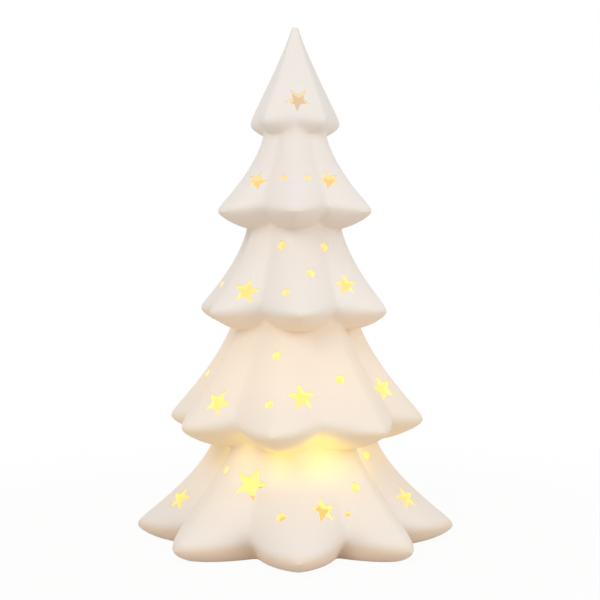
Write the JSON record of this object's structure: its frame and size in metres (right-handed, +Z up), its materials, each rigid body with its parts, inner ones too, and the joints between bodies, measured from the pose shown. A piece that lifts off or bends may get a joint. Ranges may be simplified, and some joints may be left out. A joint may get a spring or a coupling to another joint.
{
  "type": "ceramic christmas tree",
  "caption": "White bisque porcelain christmas tree in stacked scalloped tiers, pierced with stars and dots and lit from inside by a battery lamp module in its foot.",
  "frame": {"origin": "centre of the foot on the table", "axes": "+Z up the tree, -Y the front of the tree, +X to the right as seen from the front"},
  "size_m": [0.1555, 0.1556, 0.25],
  "materials": {
    "porcelain": "matte unglazed bisque",
    "silicone": "translucent matte",
    "white_plastic": "satin moulded",
    "frosted_plastic": "frosted",
    "board_green": "solder mask",
    "steel": "nickel plated",
    "led_epoxy": "clear epoxy",
    "resistor_beige": "lacquered",
    "black_plastic": "satin",
    "brass": "tinned",
    "cell_sleeve": "printed sleeve, plain",
    "wire_red": "insulation",
    "wire_yellow": "insulation",
    "wire_black": "insulation"
  },
  "bodies": {
    "tree": {"ceramic_shell": "porcelain", "gasket_ring": "silicone", "lamp_housing": "white_plastic", "housing_cover": "white_plastic", "cover_screws": "steel", "diffuser_cap": "frosted_plastic", "circuit_board": "board_green", "board_screws": "steel", "led_lamp": "led_epoxy", "led_leads": "steel", "resistor": "resistor_beige", "resistor_leads": "steel", "switch_body": "black_plastic", "switch_pins": "brass", "battery_cell_1": "cell_sleeve", "battery_cell_2": "cell_sleeve", "positive_contact": "steel", "negative_contact": "steel", "bridge_contact": "steel", "wire_red": "wire_red", "wire_yellow": "wire_yellow", "wire_black": "wire_black"},
    "door": {"battery_door": "white_plastic", "door_screw": "steel"},
    "slider": {"switch_slider": "black_plastic"}
  },
  "joints": [
    {"name": "door_hinge", "type": "hinge", "parent": "tree", "child": "door", "pos_m": [-0.0269, 0, 0.0029], "axis": [0, 1, 0], "range_deg": [0, 90]},
    {"name": "switch_slide", "type": "slide", "parent": "tree", "child": "slider", "axis": [1, 0, 0], "range_m": [0, 0.0026]}
  ]
}
